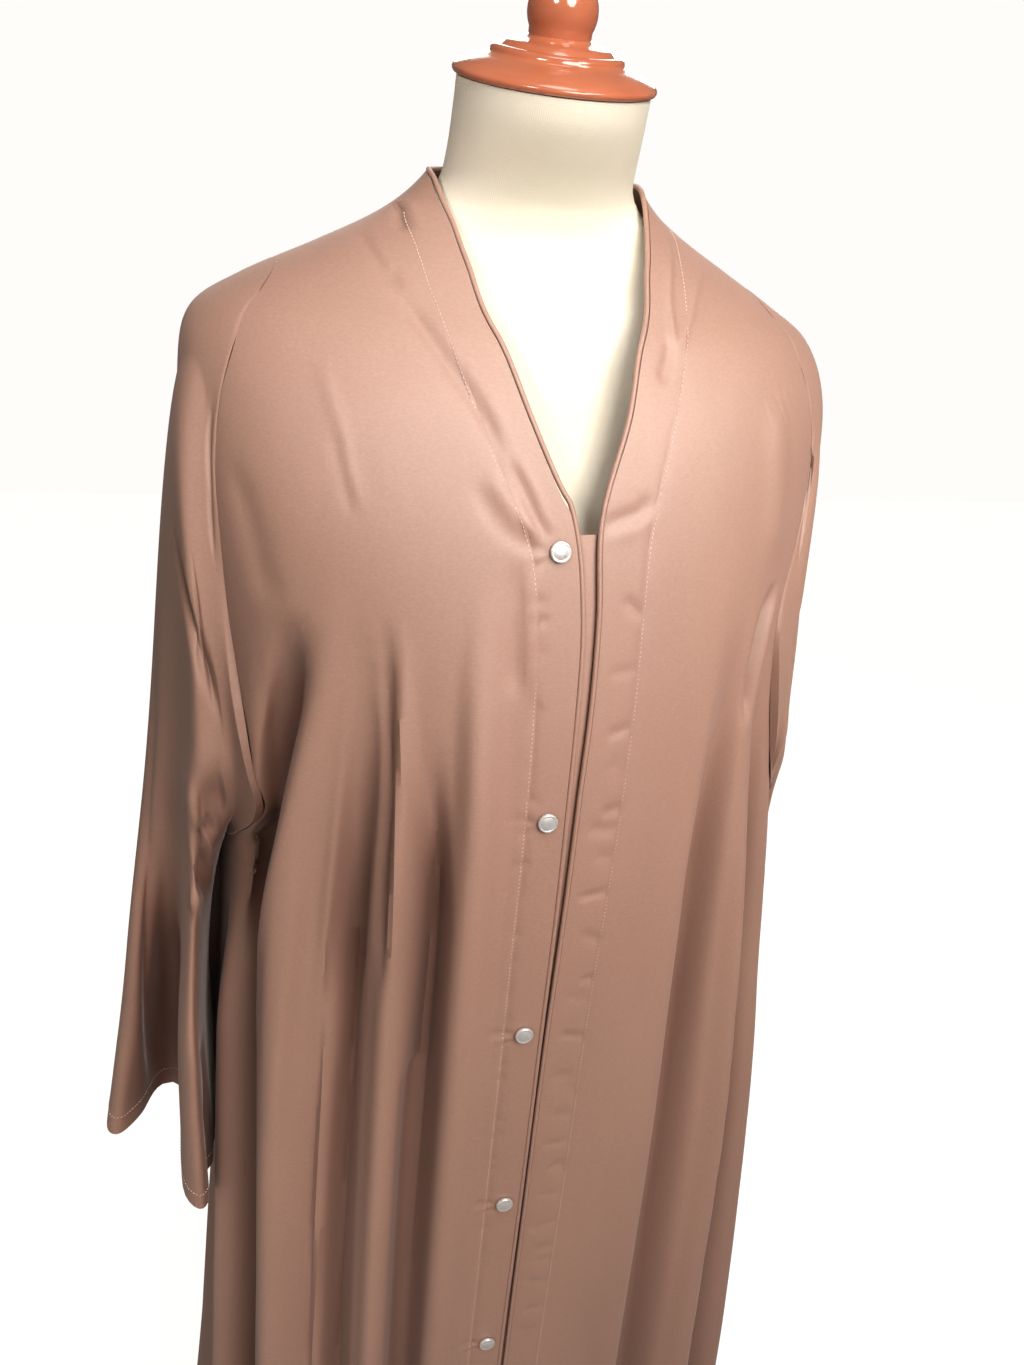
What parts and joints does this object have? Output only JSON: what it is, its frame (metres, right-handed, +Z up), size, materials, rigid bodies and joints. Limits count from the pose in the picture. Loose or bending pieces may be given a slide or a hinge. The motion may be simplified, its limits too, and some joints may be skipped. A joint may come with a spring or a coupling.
{
  "type": "abaya on dress form",
  "caption": "Long open-front satin abaya with wide sleeves, a piped V-neck band and a column of snaps, worn on a limbless dress form with a turned cap on a round stand.",
  "frame": {"origin": "middle of the stand base's underside, on the floor", "axes": "+Z up through the pole and neck, -Y the way the garment's front faces, -X the wearer's right side"},
  "size_m": [0.6498, 0.4896, 1.5868],
  "materials": {
    "satin": "soft satin with a low sheen",
    "piping": "satin cord",
    "snap_metal": "polished, slightly pearly",
    "form_linen": "matte plain weave",
    "form_lacquer": "high gloss lacquer",
    "pole_steel": "brushed"
  },
  "bodies": {
    "root": {"back": "satin", "front_left": "satin", "front_right": "satin", "sleeve_left": "satin", "sleeve_right": "satin", "band_left": "satin", "band_right": "satin", "band_neck": "satin", "underlap": "satin", "piping": "piping", "snap_1": "snap_metal", "snap_2": "snap_metal", "snap_3": "snap_metal", "snap_4": "snap_metal", "snap_5": "snap_metal", "snap_6": "snap_metal", "form_body": "form_linen", "form_cap": "form_lacquer", "stand_base": "form_lacquer", "stand_pole": "pole_steel"}
  },
  "joints": []
}
